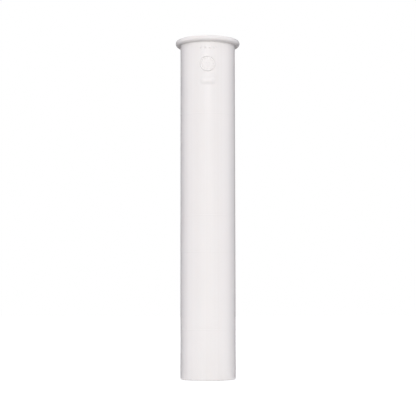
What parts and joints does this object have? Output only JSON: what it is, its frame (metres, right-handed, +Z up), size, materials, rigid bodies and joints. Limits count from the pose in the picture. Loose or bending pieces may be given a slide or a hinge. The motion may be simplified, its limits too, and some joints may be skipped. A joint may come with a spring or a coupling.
{
  "type": "basin waste tail pipe",
  "caption": "Straight white plastic drain pipe with a round-edged flange at its head; it hangs in a basin waste's nut and slides into the trap's inlet.",
  "frame": {"origin": "centre of the tail's end face, on the pipe's axis", "axes": "+Z up along the pipe's axis, from the tail to the flange; +X and +Y across it, with the moulded mark on the -Y side"},
  "size_m": [0.0376, 0.0376, 0.198],
  "materials": {
    "pipe_plastic": "white injection-moulded polypropylene, satin gloss"
  },
  "bodies": {
    "root": {"tail_pipe": "pipe_plastic"}
  },
  "joints": []
}
